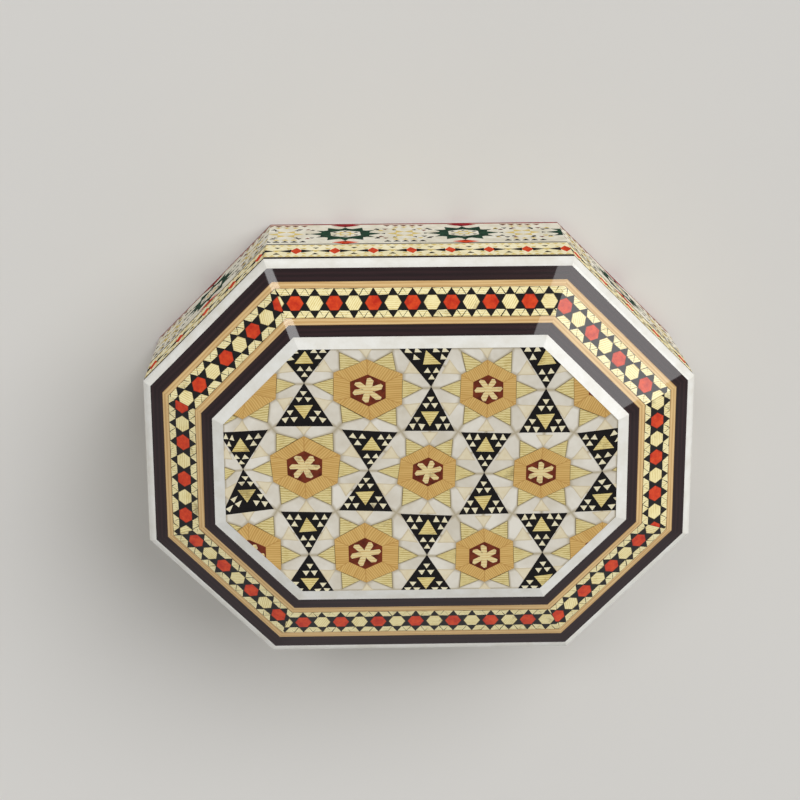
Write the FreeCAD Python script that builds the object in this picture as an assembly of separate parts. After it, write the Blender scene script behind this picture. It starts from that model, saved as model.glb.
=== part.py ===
import FreeCAD, Part
import math
import os

os.makedirs("parts", exist_ok=True)

# Driving dimensions, millimetres
box_width = 120.0
box_depth = 90.0
corner_cut = 26.7
base_height = 23.6
seam_gap = 0.2
edge_height = 38.54
veneer = 1.2
face_inset = 0.08
panel_sink = 0.1
wall_thickness = 5.0
bottom_thickness = 4.0
lid_rail_top = 36.0
lining_thickness = 0.8
floor_lining_thickness = 1.2

# Lid border: inset of each course from the outer face, and the slope it lies on
bead_run = 1.67
bead_rise = 1.88
bead_swell_run = 0.61
bead_swell_rise = 1.14
outer_dark_end = 4.33
outer_tan_end = 5.71
khatam_end = 11.5
inner_tan_end = 12.91
inner_dark_end = 15.25
inner_bone_end = 17.65
bevel_slope = 0.4737
side_dark_height = 2.3

# Border mosaic: hexagons along the middle of the strip, laid by hand, so each side starts elsewhere
hexagon_pitch = 4.165
hexagon_side = 1.85
hexagon_start = {
    "front": 1.6,
    "front_right": 1.4,
    "right": 2.5,
    "back_right": 4.3,
    "back": -1.15,
    "back_left": 2.35,
    "left": 1.2,
    "front_left": -3.0,
}

# Centre mosaic: star rosettes on a lattice that is a little flattened across the box
rosette_pitch = 25.7
rosette_row_pitch = 18.7
rosette_shift_x = -1.0
rosette_shift_y = 0.1
ochre_apothem = 6.9
heart_apothem = 3.65
brass_base = 6.2
brass_height = 4.9
triangle_spread = 0.93
wedge_base = 4.4
wedge_height = 3.2
wedge_overlap = 0.3
glue_line = 0.05

# Hinges in the back seam
hinge_centre = 20.0
hinge_length = 16.0
barrel_radius = 1.5
barrel_inset = 1.75
bore_radius = 0.65
pin_radius = 0.6
pin_end = 0.3
leaf_thickness = 0.7
leaf_width = 3.65
middle_knuckle = 6.4
knuckle_gap = 0.2
barrel_clearance = 0.35
leaf_clearance = 0.05
stop_drop = 2.15
stop_run = 2.4
nail_offset = 5.0
nail_inset = 1.0
nail_side = 0.9
nail_length = 4.5
nail_clearance = 0.02

# Derived heights and insets
half_width = box_width / 2
half_depth = box_depth / 2
root_three = math.sqrt(3.0)
lid_floor = base_height + seam_gap
seam_height = base_height + seam_gap / 2
core_inset = veneer
wall_inner = core_inset + wall_thickness
bead_top = edge_height + bead_rise
bevel_drop = veneer * math.sqrt(1 + bevel_slope ** 2)
side_strip_top = edge_height - side_dark_height
row_squash = rosette_row_pitch / (rosette_pitch * root_three / 2)
axis_depth = half_depth - barrel_inset
leaf_inner = axis_depth - leaf_width
barrel_room = barrel_radius + barrel_clearance
side_names = ["front", "front_right", "right", "back_right", "back", "back_left", "left", "front_left"]
planed_sides = [side_names.index(name) for name in ("back_right", "back", "back_left")]


def vector(x, y, z):
    return FreeCAD.Vector(x, y, z)


def bevel_height(inset):
    return bead_top + (inset - bead_run) * bevel_slope


border_top = bevel_height(inner_bone_end)
panel_height = border_top - panel_sink


# Corners of the octagon drawn in from the outer faces, front left corner first
def outline(inset):
    across = half_width - inset
    deep = half_depth - inset
    diagonal = half_width + half_depth - corner_cut - inset * math.sqrt(2.0)
    front_x = diagonal - deep
    side_y = diagonal - across
    right = [(front_x, -deep), (across, -side_y), (across, side_y), (front_x, deep)]
    left = [(-front_x, deep), (-across, side_y), (-across, -side_y), (-front_x, -deep)]
    return [left[3]] + right + left[:3]


def face_of(points):
    return Part.Face(Part.makePolygon(points + [points[0]]))


def flat_outline(inset, height):
    return face_of([vector(x, y, height) for x, y in outline(inset)])


def octagon_slab(inset, low, high):
    return flat_outline(inset, low).extrude(vector(0, 0, high - low))


# A block whose eight sides lean in from one level to the next
def octagon_frustum(low_inset, low, high_inset, high):
    below = [vector(x, y, low) for x, y in outline(low_inset)]
    above = [vector(x, y, high) for x, y in outline(high_inset)]
    faces = [face_of(below), face_of(above)]
    for side in range(8):
        far = (side + 1) % 8
        faces.append(face_of([below[side], below[far], above[far], above[side]]))
    return Part.makeSolid(Part.makeShell(faces))


# One mitred length of a course, hanging straight down from its sloping top face
def course_length(side, out_inset, out_height, in_inset, in_height, drop):
    far = (side + 1) % 8
    outer = outline(out_inset)
    inner = outline(in_inset)
    top = [
        vector(*outer[side], out_height),
        vector(*outer[far], out_height),
        vector(*inner[far], in_height),
        vector(*inner[side], in_height),
    ]
    return face_of(top).extrude(vector(0, 0, -drop))


def wall_length(side, out_inset, in_inset, low, high):
    return course_length(side, out_inset, high, in_inset, high, high - low)


def bevel_length(side, out_inset, in_inset):
    low = bevel_height(out_inset)
    high = bevel_height(in_inset)
    return course_length(side, out_inset, low, in_inset, high, bevel_drop)


def bevel_course(out_inset, in_inset):
    return [bevel_length(side, out_inset, in_inset) for side in range(8)]


def wall_course(out_inset, in_inset, low, high):
    return [wall_length(side, out_inset, in_inset, low, high) for side in range(8)]


def save(shapes, node):
    solids = [solid for shape in shapes for solid in shape.Solids]
    Part.makeCompound(solids).exportStep("parts/" + node + ".step")


# A bar along the box whose section is a polygon in the depth and height plane
def bar_along(section, start, length):
    return face_of([vector(start, y, z) for y, z in section]).extrude(vector(length, 0, 0))


def rod_along(radius, start, length):
    return Part.makeCylinder(radius, length, vector(start, axis_depth, seam_height), vector(1, 0, 0))


# Back seam: both edges are planed off, so that they meet as a stop when the lid leans back
def stop_plane(edge, direction):
    past = half_depth + veneer
    run = past - half_depth
    reach = edge - direction * (stop_drop - seam_gap / 2) * (1 + run / stop_run)
    section = [(half_depth - stop_run, edge), (past, reach), (past, edge + direction * seam_gap / 4)]
    section.append((half_depth - stop_run, edge + direction * seam_gap / 4))
    return bar_along(section, -half_width, box_width)


# Housings cut into the back seam for the barrel and the two leaves of one hinge
def hinge_housing(centre, edge, direction):
    room = hinge_length + 2 * (pin_end + barrel_clearance)
    barrel = rod_along(barrel_room, centre - room / 2, room)
    low = edge - direction * (leaf_thickness + leaf_clearance)
    high = edge + direction * seam_gap / 4
    near = leaf_inner - leaf_clearance
    section = [(near, low), (axis_depth, low), (axis_depth, high), (near, high)]
    length = hinge_length + 2 * leaf_clearance
    return [barrel, bar_along(section, centre - length / 2, length)]


def nail_spots(centre):
    depth = leaf_inner + nail_inset
    return [(centre - nail_offset, depth), (centre + nail_offset, depth)]


# A square cut nail driven through a leaf and filed level with it
def nail(spot, edge, direction, room):
    side = nail_side + 2 * room
    length = nail_length + room
    low = edge - length if direction > 0 else edge
    corner = vector(spot[0] - side / 2, spot[1] - side / 2, low)
    return Part.makeBox(side, side, length, corner)


# What is taken out of every piece of the back seam on one side of the joint
def back_cuts(edge, direction):
    cuts = [stop_plane(edge, direction)]
    for centre in (-hinge_centre, hinge_centre):
        cuts.extend(hinge_housing(centre, edge, direction))
        for spot in nail_spots(centre):
            cuts.append(nail(spot, edge, direction, nail_clearance))
    return cuts


base_back_cuts = back_cuts(base_height, 1)
lid_back_cuts = back_cuts(lid_floor, -1)

# Base: bottom board, mitred walls and the khatam panels glued on them
save([octagon_slab(core_inset, 0, bottom_thickness)], "base_bottom_board")
for side in range(8):
    wall = wall_length(side, core_inset, wall_inner, bottom_thickness, base_height)
    panel = wall_length(side, face_inset, core_inset, 0, base_height)
    if side in planed_sides:
        wall = wall.cut(base_back_cuts)
        panel = panel.cut(base_back_cuts)
    save([wall], "base_wall_" + side_names[side])
    save([panel], "base_khatam_" + side_names[side])

# Base lining: floor cloth on its card and eight strips up to just under the rim
lining_inner = wall_inner + lining_thickness
lining_low = bottom_thickness + floor_lining_thickness
lining_high = base_height - lining_thickness
save([octagon_slab(wall_inner, bottom_thickness, lining_low)], "base_floor_lining")
save(wall_course(wall_inner, lining_inner, lining_low, lining_high), "base_wall_lining")

# Lid core: eight mitred rails under a board with sloping edges
for side in range(8):
    rail = wall_length(side, core_inset, wall_inner, lid_floor, lid_rail_top)
    if side in planed_sides:
        rail = rail.cut(lid_back_cuts)
    save([rail], "lid_rail_" + side_names[side])
board_edge = bevel_height(bead_run) - bevel_drop
board_top = panel_height - veneer
board_flat = bead_run + (board_top - board_edge) / bevel_slope
foot = octagon_slab(core_inset, lid_rail_top, edge_height)
body = octagon_slab(bead_run, edge_height, board_edge)
crown = octagon_frustum(bead_run, board_edge, board_flat, board_top)
save([foot.fuse([body, crown]).removeSplitter()], "lid_board")

# Lid side: khatam strip below, thin dark line above
side_strips = wall_course(face_inset, core_inset, lid_floor, side_strip_top)
for side in planed_sides:
    side_strips[side] = side_strips[side].cut(lid_back_cuts)
save(side_strips, "lid_side_khatam")
save(wall_course(face_inset, core_inset, side_strip_top, edge_height), "lid_side_dark_line")


# Bone bead along the lid edge: a rounded nosing that leans in to the border
def bead_length(side):
    corners = outline(0)
    start = corners[side]
    finish = corners[(side + 1) % 8]
    length = math.hypot(finish[0] - start[0], finish[1] - start[1])
    along = ((finish[0] - start[0]) / length, (finish[1] - start[1]) / length)
    inward = (-along[1], along[0])

    def at(inset, height):
        x = start[0] + inward[0] * inset
        y = start[1] + inward[1] * inset
        return vector(x, y, height)

    bottom_out = at(0, edge_height)
    swell = at(bead_swell_run, edge_height + bead_swell_rise)
    top_in = at(bead_run, bead_top)
    bottom_in = at(bead_run, edge_height)
    nose = Part.Arc(bottom_out, swell, top_in).toShape()
    sides = Part.makePolygon([top_in, bottom_in, bottom_out])
    section = Part.Face(Part.Wire([nose] + sides.Edges))
    bar = section.extrude(vector(along[0] * length, along[1] * length, 0))
    mitre = wall_length(side, 0, bead_run, edge_height, bead_top)
    return bar.common(mitre)


save([bead_length(side) for side in range(8)], "lid_bone_bead")

# Plain courses of the sloping border, from the edge inwards
save(bevel_course(bead_run, outer_dark_end), "lid_outer_dark_strip")
save(bevel_course(outer_dark_end, outer_tan_end), "lid_outer_tan_line")
save(bevel_course(khatam_end, inner_tan_end), "lid_inner_tan_line")
save(bevel_course(inner_tan_end, inner_dark_end), "lid_inner_dark_strip")
save(bevel_course(inner_dark_end, inner_bone_end), "lid_inner_bone_line")


# Khatam strip of the border: hexagons run down the middle of each mitred length
def border_hexagon(side, offset):
    middle = (outer_tan_end + khatam_end) / 2
    corners = outline(middle)
    start = corners[side]
    finish = corners[(side + 1) % 8]
    length = math.hypot(finish[0] - start[0], finish[1] - start[1])
    along = ((finish[0] - start[0]) / length, (finish[1] - start[1]) / length)
    inward = (-along[1], along[0])
    lean = 1 / math.sqrt(1 + bevel_slope ** 2)
    points = []
    for step in range(6):
        angle = math.radians(60 * step)
        reach = length / 2 + offset + hexagon_side * math.cos(angle)
        climb = hexagon_side * math.sin(angle) * lean
        x = start[0] + along[0] * reach + inward[0] * climb
        y = start[1] + along[1] * reach + inward[1] * climb
        points.append(vector(x, y, edge_height))
    return face_of(points).extrude(vector(0, 0, border_top - edge_height))


strips = bevel_course(outer_tan_end, khatam_end)
red_hexagons = []
brass_hexagons = []
grounds = []
for side in range(8):
    strip = strips[side]
    length = strip.BoundBox.DiagonalLength
    count = int(length / hexagon_pitch / 2) + 2
    start = hexagon_start[side_names[side]]
    cutters = []
    for step in range(-count, count + 1):
        prism = border_hexagon(side, start + step * hexagon_pitch)
        inlay = prism.common(strip)
        if not inlay.Solids:
            continue
        cutters.append(prism)
        chosen = red_hexagons if step % 2 == 0 else brass_hexagons
        chosen.append(inlay)
    grounds.append(strip.cut(cutters))
save(grounds, "lid_khatam_ground")
save(red_hexagons, "lid_khatam_red_hexagons")
save(brass_hexagons, "lid_khatam_brass_hexagons")


# Centre panel: every piece is a slice right through the veneer, cut off at the octagon
def panel_face(points):
    return face_of([vector(x, y, panel_height - veneer) for x, y in points])


def place(centre, x, y):
    return (centre[0] + x, centre[1] + y * row_squash)


def polar(centre, radius, degrees):
    angle = math.radians(degrees)
    return place(centre, radius * math.cos(angle), radius * math.sin(angle))


def hexagon(centre, apothem):
    corner = apothem * 2 / root_three
    return panel_face([polar(centre, corner, 30 + 60 * step) for step in range(6)])


# A triangle standing on a line at a distance from the centre, its tip pointing out or in
def pointer(centre, degrees, foot_radius, tip_radius, base):
    angle = math.radians(degrees)
    out = (math.cos(angle), math.sin(angle))
    aside = (-out[1], out[0])
    points = []
    for radius, half in ((foot_radius, -base / 2), (foot_radius, base / 2), (tip_radius, 0)):
        points.append(place(centre, out[0] * radius + aside[0] * half, out[1] * radius + aside[1] * half))
    return panel_face(points)


panel_plane = flat_outline(inner_bone_end, panel_height - veneer)
centres = []
for row in (-1, 0, 1):
    for column in range(-2, 3):
        x = (column + (0.5 if row else 0)) * rosette_pitch + rosette_shift_x
        y = row * rosette_row_pitch + rosette_shift_y
        centres.append((x, y))


def trimmed(face):
    return face.common(panel_plane).Faces


ochre = []
hearts = []
points = []
wedges = []
triangles = []
tip = rosette_pitch / 2
wedge_foot = tip * root_three / 2 + wedge_overlap
for centre in centres:
    outer = hexagon(centre, ochre_apothem)
    inner = hexagon(centre, heart_apothem)
    ochre.extend(trimmed(outer.cut(inner)))
    hearts.extend(trimmed(inner))
    for step in range(6):
        brass = pointer(centre, 60 * step, ochre_apothem, ochre_apothem + brass_height, brass_base)
        points.extend(trimmed(brass))
        wedge = pointer(centre, 30 + 60 * step, wedge_foot, wedge_foot - wedge_height, wedge_base)
        wedges.extend(trimmed(wedge))

# Black triangles fill the gaps between three rosettes, tip to tip with each other
gap_radius = tip / root_three
for row in (-2, -1, 0, 1):
    shift = 0.5 if row % 2 else 0
    for column in range(-3, 4):
        for level, aside, turn in ((1 / 3, 0.5, -90), (2 / 3, 0, 90)):
            x = (column + shift + aside) * rosette_pitch + rosette_shift_x
            y = (row + level) * rosette_row_pitch + rosette_shift_y
            corners = [polar((x, y), gap_radius, turn + step) for step in (0, 120, 240)]
            narrow = [(x + (corner[0] - x) * triangle_spread, corner[1]) for corner in corners]
            triangles.extend(trimmed(panel_face(narrow)))


# Bone petals: two fill each gap between star points, either side of a glue line
def petal(centre, degrees, hand):
    star = math.radians(degrees + 30 * hand)
    gap = math.radians(degrees)

    def spot(angle, radius, aside):
        x = radius * math.cos(angle) - aside * math.sin(angle)
        y = radius * math.sin(angle) + aside * math.cos(angle)
        return place(centre, x, y)

    corner = ochre_apothem * 2 / root_three + glue_line
    brass_tip = ochre_apothem + brass_height + 2 * glue_line
    return panel_face([
        spot(gap, corner, hand * glue_line),
        spot(star, ochre_apothem + glue_line, -hand * (brass_base / 2 + glue_line)),
        spot(star, brass_tip, -hand * glue_line),
        spot(star, tip, -hand * glue_line),
        spot(gap, rosette_pitch / root_three, hand * glue_line),
    ])


black = Part.makeCompound(triangles)
wedges = [face for wedge in wedges for face in wedge.cut(black).Faces]
filled = Part.makeCompound(triangles + wedges)
bone = []
for centre in centres:
    for step in range(6):
        for hand in (1, -1):
            for face in trimmed(petal(centre, 30 + 60 * step, hand)):
                bone.extend(face.cut(filled).Faces)


def veneer_of(faces):
    return [face.extrude(vector(0, 0, veneer)) for face in faces]


save(veneer_of(bone), "panel_bone_petals")
save(veneer_of(ochre), "panel_ochre_hexagons")
save(veneer_of(hearts), "panel_dark_red_hearts")
save(veneer_of(points), "panel_brass_points")
save(veneer_of(triangles), "panel_black_triangles")
save(veneer_of(wedges), "panel_tan_wedges")

# Lid lining: eight strips on the rails and a flat cloth under the board
lid_lining_top = lid_rail_top - lining_thickness
lid_lining_low = lid_floor + lining_thickness
save(wall_course(wall_inner, lining_inner, lid_lining_low, lid_lining_top), "lid_wall_lining")
save([octagon_slab(wall_inner, lid_lining_top, lid_rail_top)], "lid_top_lining")


# Butt hinges: the base leaf carries the two end knuckles, the lid leaf the middle one
def leaf(centre, edge, direction, spans):
    low = edge - direction * leaf_thickness
    clear_edge = axis_depth - barrel_room
    plate = bar_along(
        [(leaf_inner, low), (clear_edge, low), (clear_edge, edge), (leaf_inner, edge)],
        centre - hinge_length / 2,
        hinge_length,
    )
    root = axis_depth - (barrel_radius + bore_radius) / 2
    bore = rod_along(bore_radius, centre - hinge_length, 2 * hinge_length)
    shape = plate
    for start, length in spans:
        section = [(clear_edge, low), (root, low), (root, edge), (clear_edge, edge)]
        tongue = bar_along(section, centre + start, length)
        knuckle = rod_along(barrel_radius, centre + start, length)
        shape = shape.fuse([tongue, knuckle])
    holes = [nail(spot, edge, direction, nail_clearance) for spot in nail_spots(centre)]
    return shape.cut([bore] + holes).removeSplitter()


end_knuckle = (hinge_length - middle_knuckle) / 2 - knuckle_gap
end_spans = [(-hinge_length / 2, end_knuckle), (hinge_length / 2 - end_knuckle, end_knuckle)]
middle_spans = [(-middle_knuckle / 2, middle_knuckle)]


# A pin of drawn wire that stands a little out of the barrel at both ends
def pin(centre):
    return rod_along(pin_radius, centre - hinge_length / 2 - pin_end, hinge_length + 2 * pin_end)


base_nails = []
lid_nails = []
for name, centre in (("left", -hinge_centre), ("right", hinge_centre)):
    save([leaf(centre, base_height, 1, end_spans)], "hinge_base_leaf_" + name)
    save([leaf(centre, lid_floor, -1, middle_spans)], "hinge_lid_leaf_" + name)
    save([pin(centre)], "hinge_pin_" + name)
    for spot in nail_spots(centre):
        base_nails.append(nail(spot, base_height, 1, 0))
        lid_nails.append(nail(spot, lid_floor, -1, 0))
save(base_nails, "hinge_base_nails")
save(lid_nails, "hinge_lid_nails")
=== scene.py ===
import bmesh
import bpy
import math
import random
from mathutils import Matrix, Vector, noise


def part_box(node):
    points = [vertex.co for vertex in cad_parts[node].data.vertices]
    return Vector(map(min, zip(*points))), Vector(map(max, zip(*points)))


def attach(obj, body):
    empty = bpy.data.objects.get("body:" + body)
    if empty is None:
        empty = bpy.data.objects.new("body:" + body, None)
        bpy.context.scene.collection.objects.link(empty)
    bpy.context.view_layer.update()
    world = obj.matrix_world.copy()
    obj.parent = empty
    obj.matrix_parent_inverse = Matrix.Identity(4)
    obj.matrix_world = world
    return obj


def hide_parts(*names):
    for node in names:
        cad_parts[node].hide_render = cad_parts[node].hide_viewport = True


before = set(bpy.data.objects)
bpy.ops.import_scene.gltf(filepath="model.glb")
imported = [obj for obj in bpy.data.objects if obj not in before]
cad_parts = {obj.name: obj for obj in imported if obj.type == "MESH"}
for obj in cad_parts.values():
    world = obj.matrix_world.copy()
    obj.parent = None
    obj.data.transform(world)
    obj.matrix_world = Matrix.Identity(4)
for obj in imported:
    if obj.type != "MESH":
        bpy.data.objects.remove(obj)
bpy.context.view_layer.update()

# Core: the bottom board, the mitred walls and rails and the bevelled lid board are plain brown wood.
# They are sawn from one plank, glued at the mitres, and show only underneath and along the rims.
MM = 0.001
SIDES = ["front", "front_right", "right", "back_right", "back", "back_left", "left", "front_left"]
LACQUER_ROUGHNESS = 0.06
BARE_SHINE = 0.4


def shade(red, green, blue):
    """A colour as it is seen, 0 to 255, as the linear colour that a shader takes."""
    linear = []
    for value in (red, green, blue):
        value = value / 255
        linear.append(value / 12.92 if value <= 0.04045 else ((value + 0.055) / 1.055) ** 2.4)
    return (*linear, 1.0)


def start_finish(name, roughness, coat):
    """A new material with its shader; coat is the clear lacquer over the whole box."""
    finish = bpy.data.materials.new(name)
    finish.use_nodes = True
    nodes = finish.node_tree.nodes
    shader = nodes["Principled BSDF"]
    shader.inputs["Roughness"].default_value = roughness
    shader.inputs["Coat Weight"].default_value = coat
    shader.inputs["Coat Roughness"].default_value = LACQUER_ROUGHNESS
    shader.inputs["Specular IOR Level"].default_value = 0.0 if coat else BARE_SHINE
    return finish, nodes, finish.node_tree.links, shader


def set_finish(finish, *names):
    for name in names:
        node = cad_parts[name]
        node.data.materials.clear()
        node.data.materials.append(finish)


def two_tones(nodes, dark, light, low, high):
    """A ramp between two colours of one material."""
    ramp = nodes.new("ShaderNodeValToRGB")
    ramp.color_ramp.elements[0].position = low
    ramp.color_ramp.elements[0].color = dark
    ramp.color_ramp.elements[1].position = high
    ramp.color_ramp.elements[1].color = light
    return ramp


def new_node(nodes, kind, **values):
    """A node with these values on its inputs; a low line in a name stands for a space."""
    node = nodes.new(kind)
    for name, value in values.items():
        node.inputs[name.replace("_", " ")].default_value = value
    return node


def wire(links, *runs):
    """Each run goes from one node's outlet to another node's inlet."""
    for start, outlet, end, inlet in runs:
        links.new(start.outputs[outlet], end.inputs[inlet])


def add_socket(group, name, kind, way="INPUT"):
    return group.interface.new_socket(name, in_out=way, socket_type="NodeSocket" + kind)


def grain_group():
    """Shader group: long wood fibres with darker growth lines, as one value from 0 to 1."""
    group = bpy.data.node_groups.new("Wood grain", "ShaderNodeTree")
    add_socket(group, "Vector", "Vector")
    add_socket(group, "Fibre scale", "Float").default_value = 900.0
    add_socket(group, "Line scale", "Float").default_value = 260.0
    add_socket(group, "Grain", "Float", "OUTPUT")
    nodes = group.nodes
    inlet, outlet = nodes.new("NodeGroupInput"), nodes.new("NodeGroupOutput")
    fibres = new_node(nodes, "ShaderNodeTexNoise", Detail=3.0)
    lines = new_node(nodes, "ShaderNodeTexWave", Distortion=3.5, Detail=2.0, Detail_Scale=1.4)
    lines.bands_direction = "Y"
    mix = new_node(nodes, "ShaderNodeMix", Factor=0.4)
    wire(group.links, (inlet, "Vector", fibres, "Vector"), (inlet, "Vector", lines, "Vector"),
         (inlet, "Fibre scale", fibres, "Scale"), (inlet, "Line scale", lines, "Scale"),
         (fibres, "Fac", mix, "A"), (lines, "Fac", mix, "B"), (mix, "Result", outlet, "Grain"))
    return group


def glue_line_and_rim_shade_group():
    """Shader group: the dark glue line at the edge of a laid piece, from the piece's own rim attribute; on
    the bone petals this edge colour is also painted shade of their rounded rims.
    """
    group = bpy.data.node_groups.new("Glue line and painted rim shade", "ShaderNodeTree")
    add_socket(group, "Face", "Color")
    add_socket(group, "Joint", "Color")
    add_socket(group, "Colour", "Color", "OUTPUT")
    nodes = group.nodes
    inlet, outlet = nodes.new("NodeGroupInput"), nodes.new("NodeGroupOutput")
    rim = nodes.new("ShaderNodeAttribute")
    rim.attribute_name = "rim"
    mix = nodes.new("ShaderNodeMix")
    mix.data_type = "RGBA"
    wire(group.links, (rim, "Fac", mix, "Factor"), (inlet, "Joint", mix, "A"), (inlet, "Face", mix, "B"),
         (mix, "Result", outlet, "Colour"))
    return group


GRAIN = grain_group()
GLUE_LINE_AND_RIM_SHADE = glue_line_and_rim_shade_group()


def laid_place(nodes, laid):
    """Where a pattern is read: along the laid piece itself, or in the box's own coordinates."""
    if laid:
        place = nodes.new("ShaderNodeUVMap")
        place.uv_map = "laid"
        return place.outputs["UV"]
    return nodes.new("ShaderNodeTexCoord").outputs["Object"]


def join_colour(nodes, links, colour, joint, shader):
    """The colour goes to the shader, with a glue line at its edges where the piece has one; on the bone
    petals that edge colour is also painted shade.
    """
    if joint is None:
        links.new(colour, shader.inputs["Base Color"])
        return
    edge = nodes.new("ShaderNodeGroup")
    edge.node_tree = GLUE_LINE_AND_RIM_SHADE
    edge.inputs["Joint"].default_value = joint
    links.new(colour, edge.inputs["Face"])
    links.new(edge.outputs["Colour"], shader.inputs["Base Color"])


def raise_pattern(nodes, links, pattern, outlet, strength, depth, shader):
    """The pattern stands a little proud of the face; depth is in millimetres."""
    raised = new_node(nodes, "ShaderNodeBump", Strength=strength, Distance=depth * MM)
    wire(links, (pattern, outlet, raised, "Height"), (raised, "Normal", shader, "Normal"))


def wood_finish(name, light, dark, lines, roughness, coat, laid=False, joint=None, bump=0.1):
    """Wood with its fibres drawn out along the first axis, under clear lacquer where coat is above 0."""
    finish, nodes, links, shader = start_finish(name, roughness, coat)
    mapping = new_node(nodes, "ShaderNodeMapping", Scale=(0.1, 1.0, 1.0))
    grain = nodes.new("ShaderNodeGroup")
    grain.node_tree = GRAIN
    grain.inputs["Line scale"].default_value = lines
    ramp = two_tones(nodes, dark, light, 0.28, 0.72)
    links.new(laid_place(nodes, laid), mapping.inputs["Vector"])
    wire(links, (mapping, "Vector", grain, "Vector"), (grain, "Grain", ramp, "Fac"))
    raise_pattern(nodes, links, grain, "Grain", bump, 0.05, shader)
    join_colour(nodes, links, ramp.outputs["Color"], joint, shader)
    return finish


hand = random.Random(11)
SLENDER = 8
SLENDER_RIM = 0.4
WIDEST_RIM = 0.5
SAME_POINT = 0.001 * MM
FLAT = math.radians(0.5)


def finish_piece(name, mesh, body):
    """A mesh becomes a shown piece that moves with its body."""
    piece = bpy.data.objects.new(name, mesh)
    bpy.context.scene.collection.objects.link(piece)
    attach(piece, body)
    return piece


def stand_in(work, name, finish, body, node):
    """The worked mesh becomes a shown piece in place of its CAD node."""
    mesh = bpy.data.meshes.new(name)
    work.to_mesh(mesh)
    work.free()
    mesh.materials.append(finish)
    piece = finish_piece(name, mesh, body)
    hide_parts(node)
    return piece


def longest_edge(face):
    edge = max(face.edges, key=lambda edge: edge.calc_length())
    return (edge.verts[1].co - edge.verts[0].co).normalized()


def longest_edge_length(face):
    return max(edge.calc_length() for edge in face.edges)


def bridge(work, near, far):
    """The band of faces between two rings with as many points each."""
    count = len(near)
    return [work.faces.new((near[step], near[(step + 1) % count], far[(step + 1) % count], far[step]))
            for step in range(count)]


def shrunk(work, face, share):
    """The face drawn in towards its middle, with a margin of new faces round it."""
    middle = face.calc_center_median()
    outer = list(face.verts)
    inner = [work.verts.new(vert.co.lerp(middle, share)) for vert in outer]
    bmesh.ops.delete(work, geom=[face], context="FACES_ONLY")
    margin = bridge(work, outer, inner)
    return work.faces.new(inner), margin


def ease_edges(work, shown, rim, drop, along_of):
    """Every shown face gets a narrow margin that falls a little to its joints, and a map along the piece.
    The rim attribute is 0 at the joints and 1 on the face."""
    laid = work.loops.layers.uv.new("laid")
    mask = work.verts.layers.float.new("rim")
    lowered = set()
    work.normal_update()
    for face in shown:
        along = along_of(face)
        across = face.normal.cross(along)
        middle = face.calc_center_median()
        start = Vector((hand.random(), hand.random()))
        outer = list(face.verts)
        out = face.normal.copy()
        breadth = 2 * face.calc_area() / face.calc_perimeter()
        if longest_edge_length(face) > SLENDER * breadth:
            margin = bmesh.ops.inset_individual(work, faces=[face], thickness=min(rim, breadth * SLENDER_RIM),
                                                use_even_offset=True)["faces"]
        else:
            face, margin = shrunk(work, face, min(rim / breadth, WIDEST_RIM))
        for vert in face.verts:
            vert[mask] = 1.0
        for vert in outer:
            if vert not in lowered:
                vert.co -= out * drop
                lowered.add(vert)
        for part in [face] + margin:
            for loop in part.loops:
                reach = loop.vert.co - middle
                loop[laid].uv = start + Vector((reach.dot(along), reach.dot(across)))


def faces_up(face):
    return face.normal.z > 0.5


def any_face(face):
    return True


def dressed(node, finish, body, rim, drop=0.0, along_of=longest_edge, shows=faces_up):
    """A copy of a CAD piece with eased edges, glue lines and a map along each laid piece."""
    work = bmesh.new()
    work.from_mesh(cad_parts[node].data)
    bmesh.ops.remove_doubles(work, verts=work.verts, dist=SAME_POINT)
    bmesh.ops.dissolve_limit(work, angle_limit=FLAT, verts=work.verts, edges=work.edges)
    ease_edges(work, [face for face in work.faces if shows(face)], rim * MM, drop * MM, along_of)
    return stand_in(work, node + "_laid", finish, body, node)


core_wood = wood_finish("Plain core wood", shade(142, 98, 58), shade(112, 74, 42), 120, 0.5, 0.0)
set_finish(core_wood, "base_bottom_board", "lid_board")
rim_wood = wood_finish("Wall and rail wood", shade(140, 97, 58), shade(122, 82, 48), 190, 0.5, 0.0, True)
for side in SIDES:
    dressed("base_wall_" + side, rim_wood, "base", 0.1, shows=any_face)
    dressed("lid_rail_" + side, rim_wood, "lid", 0.1, shows=any_face)

# Base faces: one khatam panel glued on each of the eight walls, sliced from a bundle of thin rods.
# The field is bone; green star rings, red lozenges and small triangles are slices of dyed wood and brass.
HALF_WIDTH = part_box("lid_bone_bead")[1][0] / MM
HALF_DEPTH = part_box("lid_bone_bead")[1][1] / MM
CORNER_CUT = 26.7
FACE_INSET = HALF_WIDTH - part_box("base_khatam_right")[1][0] / MM
BASE_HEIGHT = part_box("base_khatam_front")[1][2] / MM
SLICE_DEPTH = 0.07
SIDE_COAT = 0.08
HAND_TURN = 4
HAND_SIZE = 0.03
HAND_SLIP = 0.06
UNCUT = 1e-6


def corners_at(inset):
    """Corners of the box's octagon drawn in by inset, in millimetres, front left first."""
    across = HALF_WIDTH - inset
    deep = HALF_DEPTH - inset
    diagonal = HALF_WIDTH + HALF_DEPTH - CORNER_CUT - inset * math.sqrt(2)
    front = diagonal - deep
    side = diagonal - across
    return [(-front, -deep), (front, -deep), (across, -side), (across, side),
            (front, deep), (-front, deep), (-across, side), (-across, -side)]


def side_frame(side, inset, height, lean=0.0):
    """Middle of one side at that inset and height, with the way along it, up its face and out of it.
    lean is the rise of the face for each step inwards; 0 is an upright face."""
    first = Vector((*corners_at(inset)[side], height))
    last = Vector((*corners_at(inset)[(side + 1) % 8], height))
    along = (last - first).normalized()
    outward = Vector((along.y, -along.x, 0))
    up = Vector((0, 0, 1)) if lean == 0 else (Vector((0, 0, lean)) - outward).normalized()
    return (first + last) / 2, along, up, along.cross(up).normalized(), (last - first).length


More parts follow.
